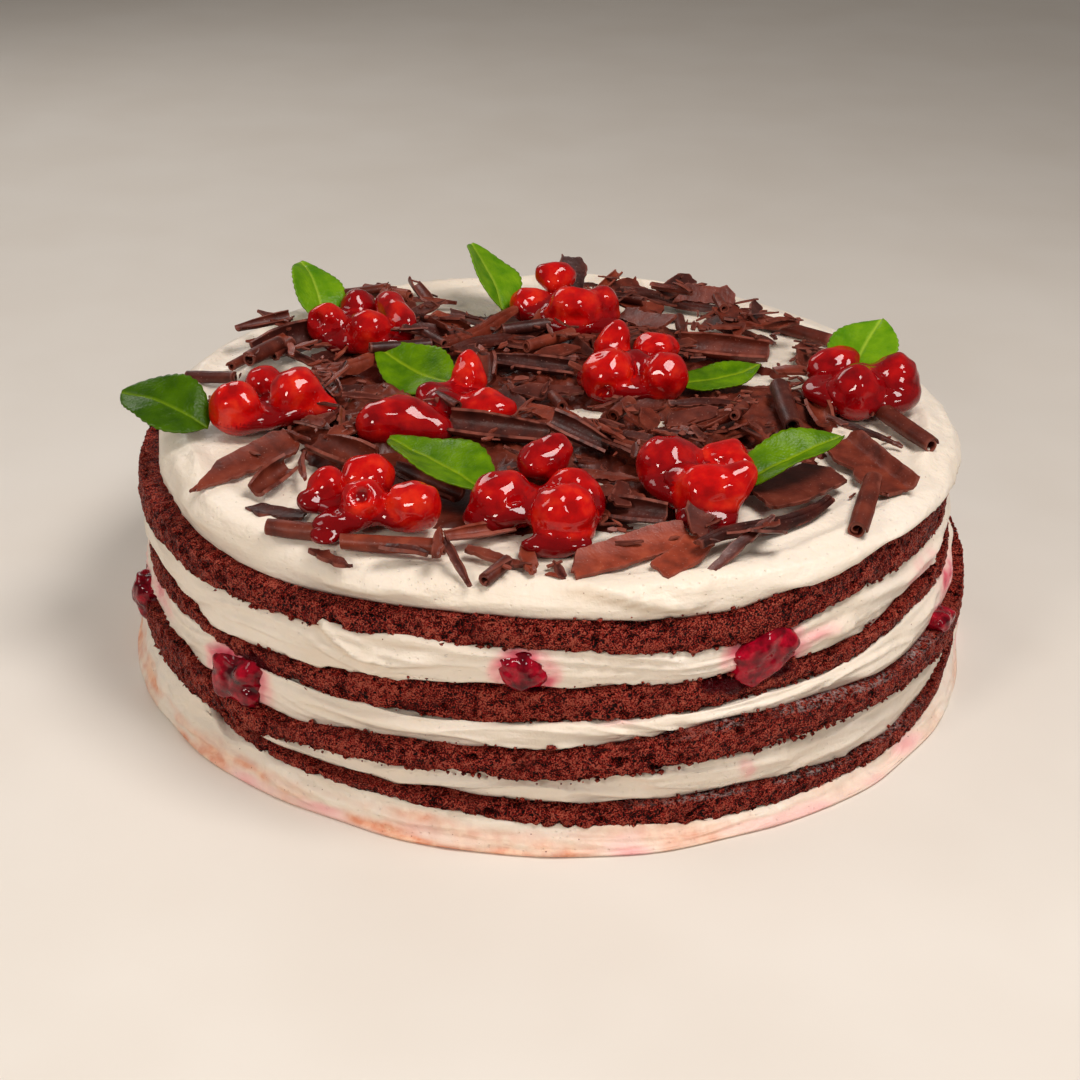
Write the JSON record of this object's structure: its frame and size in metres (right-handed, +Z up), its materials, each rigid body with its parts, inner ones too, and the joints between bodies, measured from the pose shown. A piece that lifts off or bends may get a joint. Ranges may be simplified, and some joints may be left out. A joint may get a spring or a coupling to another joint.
{
  "type": "black forest cake",
  "caption": "Round uncut chocolate layer cake with whipped cream between bare sponges, topped with glazed cherries, chocolate shavings and green leaves; rests on its flat base.",
  "frame": {"origin": "centre of the flat underside, on the surface the cake stands on", "axes": "+Z up through the layers; the pictured front faces -Y, +X is to the right seen from the front"},
  "size_m": [0.2413, 0.2412, 0.089],
  "materials": {
    "whipped_cream": "soft satin whipped cream, off white",
    "chocolate_sponge": "open porous red-brown crumb, dull",
    "cherry_filling": "wet dark red fruit filling",
    "glazed_cherry": "wet glossy bright red gel over whole cherries",
    "green_leaf": "satin waxy leaf",
    "dark_chocolate": "satin dark chocolate with a dusty bloom"
  },
  "bodies": {
    "root": {"cream_foot": "whipped_cream", "sponge_4": "chocolate_sponge", "sponge_3": "chocolate_sponge", "sponge_2": "chocolate_sponge", "sponge_1": "chocolate_sponge", "cream_3": "whipped_cream", "cream_2": "whipped_cream", "cream_1": "whipped_cream", "cream_top": "whipped_cream", "filling_left": "cherry_filling", "filling_front_left": "cherry_filling", "filling_front": "cherry_filling", "filling_front_right": "cherry_filling", "filling_right": "cherry_filling", "cherry_a1": "glazed_cherry", "cherry_a2": "glazed_cherry", "cherry_a3": "glazed_cherry", "cherry_b1": "glazed_cherry", "cherry_b2": "glazed_cherry", "cherry_b3": "glazed_cherry", "cherry_b4": "glazed_cherry", "cherry_c1": "glazed_cherry", "cherry_c2": "glazed_cherry", "cherry_c3": "glazed_cherry", "cherry_c4": "glazed_cherry", "cherry_d1": "glazed_cherry", "cherry_d2": "glazed_cherry", "cherry_d3": "glazed_cherry", "cherry_d4": "glazed_cherry", "cherry_e1": "glazed_cherry", "cherry_e2": "glazed_cherry", "cherry_e3": "glazed_cherry", "cherry_e4": "glazed_cherry", "cherry_f1": "glazed_cherry", "cherry_f2": "glazed_cherry", "cherry_f3": "glazed_cherry", "cherry_g1": "glazed_cherry", "cherry_g2": "glazed_cherry", "cherry_g3": "glazed_cherry", "cherry_g4": "glazed_cherry", "cherry_h1": "glazed_cherry", "cherry_h2": "glazed_cherry", "cherry_h3": "glazed_cherry", "cherry_h4": "glazed_cherry", "cherry_i1": "glazed_cherry", "cherry_i2": "glazed_cherry", "cherry_i3": "glazed_cherry", "leaf_1": "green_leaf", "leaf_2": "green_leaf", "leaf_3": "green_leaf", "leaf_4": "green_leaf", "leaf_5": "green_leaf", "leaf_6": "green_leaf", "leaf_7": "green_leaf", "leaf_8": "green_leaf", "chocolate_shavings": "dark_chocolate"}
  },
  "joints": []
}
